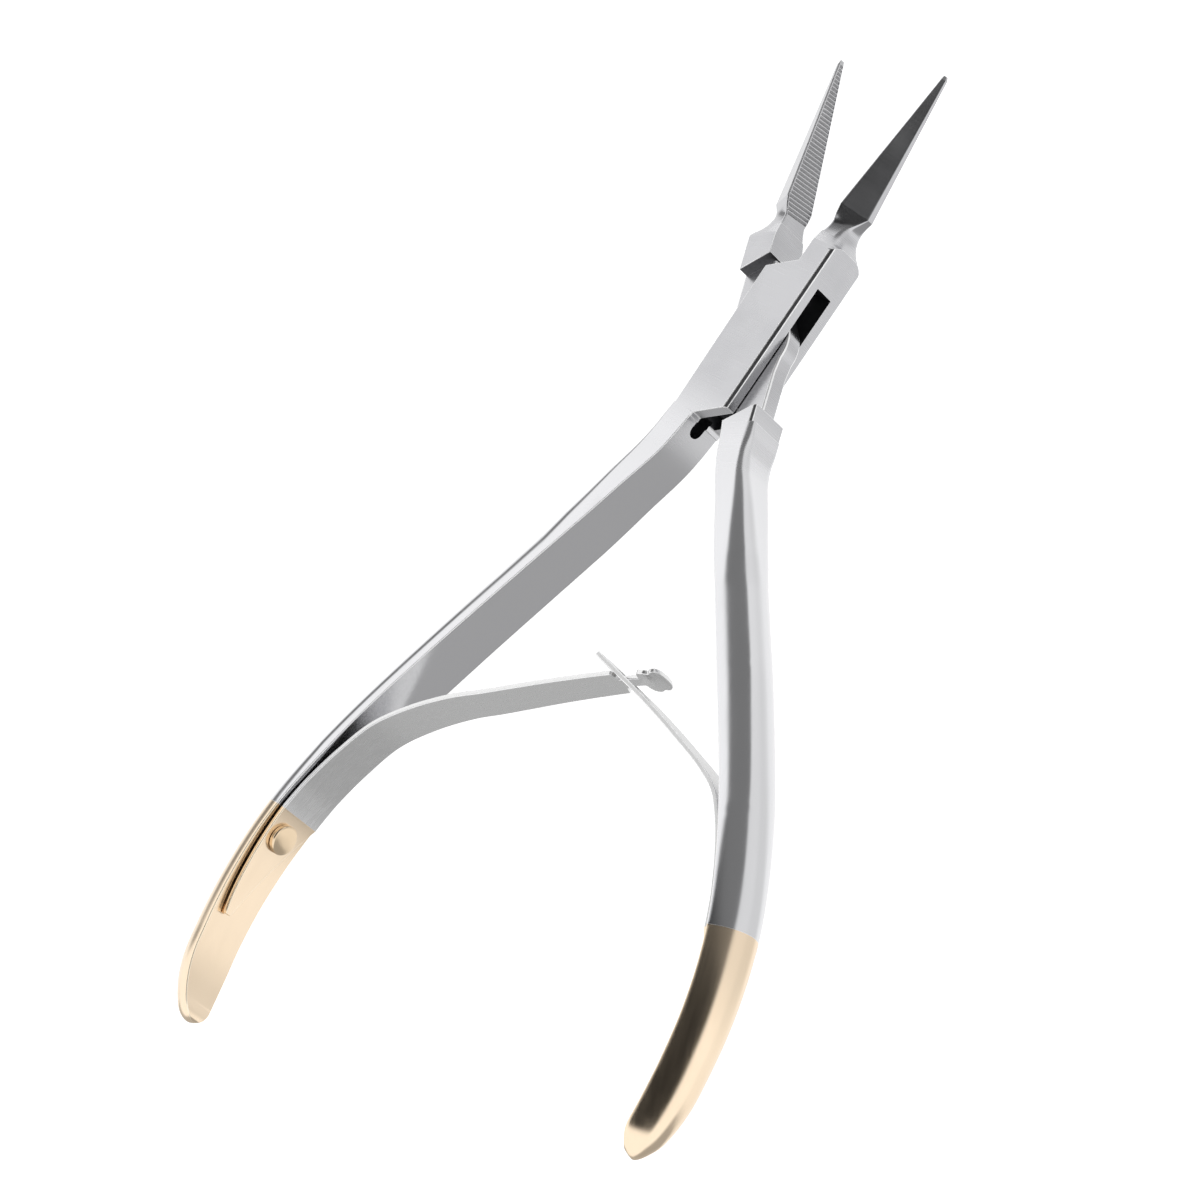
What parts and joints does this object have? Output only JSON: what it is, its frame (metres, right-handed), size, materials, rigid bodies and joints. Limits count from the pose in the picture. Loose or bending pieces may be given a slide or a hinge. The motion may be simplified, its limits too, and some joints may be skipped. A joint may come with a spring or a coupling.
{
  "type": "flat nose pliers",
  "caption": "Slim box-joint flat nose pliers with serrated tapered jaws, bowed handles with plated ends and interlocking leaf springs.",
  "frame": {"origin": "where the pivot axis meets the outer face of the back cheek of the box joint", "axes": "+Z out of the front cheek, +Y from the pivot towards the jaws along the line that halves the opening, +X towards the male arm's handle"},
  "size_m": [0.0801, 0.1393, 0.0082],
  "materials": {
    "satin_steel": "fine satin polish, brushed across the jaws' slanted faces",
    "pin_steel": "ground",
    "spring_steel": "satin rolled strip",
    "plated_gold": "pale gold plating, glossy"
  },
  "bodies": {
    "female_arm": {"female_arm": "satin_steel", "pivot_pin": "pin_steel", "left_rivet": "plated_gold"},
    "male_arm": {"male_arm": "satin_steel", "right_rivet": "plated_gold"},
    "left_spring": {"left_spring": "spring_steel"},
    "right_spring": {"right_spring": "spring_steel"}
  },
  "joints": [
    {"name": "box_joint", "type": "hinge", "parent": "female_arm", "child": "male_arm", "pos_m": [0, 0, 0.0032], "axis": [0, 0, 1], "range_deg": [-22.3, 0], "stiffness_Nm_per_rad": 1.2, "springref_deg": 3.44, "deforming": ["left_spring", "right_spring"]},
    {"name": "left_spring_flex", "type": "hinge", "parent": "female_arm", "child": "left_spring", "pos_m": [-0.03278, -0.06791, 0.0032], "axis": [0, 0, 1], "range_deg": [0, 14.6], "deforming": ["left_spring"]},
    {"name": "right_spring_flex", "type": "hinge", "parent": "male_arm", "child": "right_spring", "pos_m": [0.03278, -0.06791, 0.0032], "axis": [0, 0, 1], "range_deg": [-14.6, 0], "deforming": ["right_spring"]}
  ],
  "couplings": [
    {"joint": "left_spring_flex", "follows": "box_joint", "ratio": -0.65},
    {"joint": "right_spring_flex", "follows": "box_joint", "ratio": 0.65}
  ]
}
